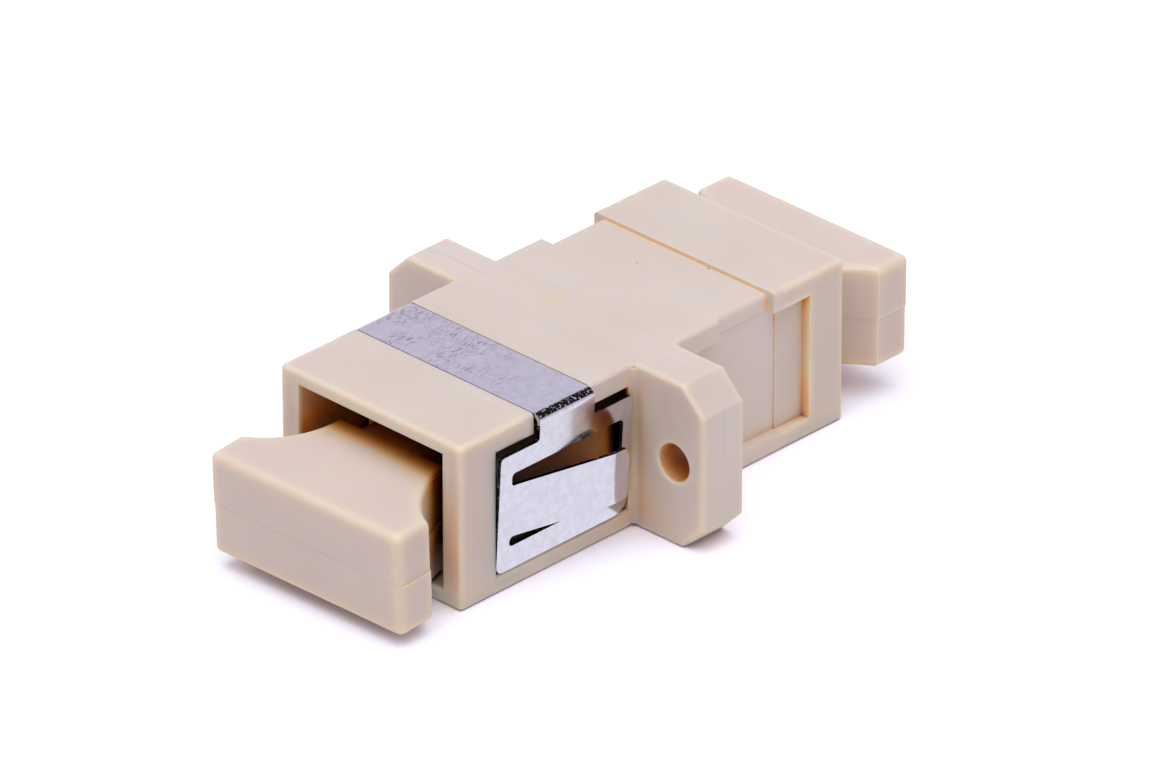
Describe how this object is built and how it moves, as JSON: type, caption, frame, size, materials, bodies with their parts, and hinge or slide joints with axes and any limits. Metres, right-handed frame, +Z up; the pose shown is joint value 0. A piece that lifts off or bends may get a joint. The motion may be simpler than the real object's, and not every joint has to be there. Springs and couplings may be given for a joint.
{
  "type": "sc fibre adapter",
  "caption": "Flanged simplex SC fibre coupler body with a folded spring clip for a panel cut-out and a pull-out dust cap in each port.",
  "frame": {"origin": "on the optical axis, in the plane where the two body halves are welded together, at the middle of the alignment sleeve", "axes": "X runs along the optical axis and -X points out of the port on the clip's side, +Z is up through the clip's band, Y runs from one screw hole to the other"},
  "size_m": [0.0382, 0.0222, 0.0094],
  "materials": {
    "housing_plastic": "fine satin moulded, beige",
    "holder_plastic": "satin moulded, beige",
    "sleeve_bronze": "drawn phosphor bronze strip",
    "spring_steel": "rolled stainless strip, bright, finely scuffed",
    "cap_plastic": "fine satin moulded, beige"
  },
  "bodies": {
    "adapter": {"housing_front_half": "housing_plastic", "housing_rear_half": "housing_plastic", "sleeve_holder_front": "holder_plastic", "sleeve_holder_rear": "holder_plastic", "alignment_sleeve": "sleeve_bronze", "retention_clip": "spring_steel"},
    "front_cap": {"dust_cap_front": "cap_plastic"},
    "rear_cap": {"dust_cap_rear": "cap_plastic"}
  },
  "joints": [
    {"name": "front_cap_pull", "type": "slide", "parent": "adapter", "child": "front_cap", "axis": [-1, 0, 0], "range_m": [0, 0.016]},
    {"name": "rear_cap_pull", "type": "slide", "parent": "adapter", "child": "rear_cap", "axis": [1, 0, 0], "range_m": [0, 0.016]}
  ]
}
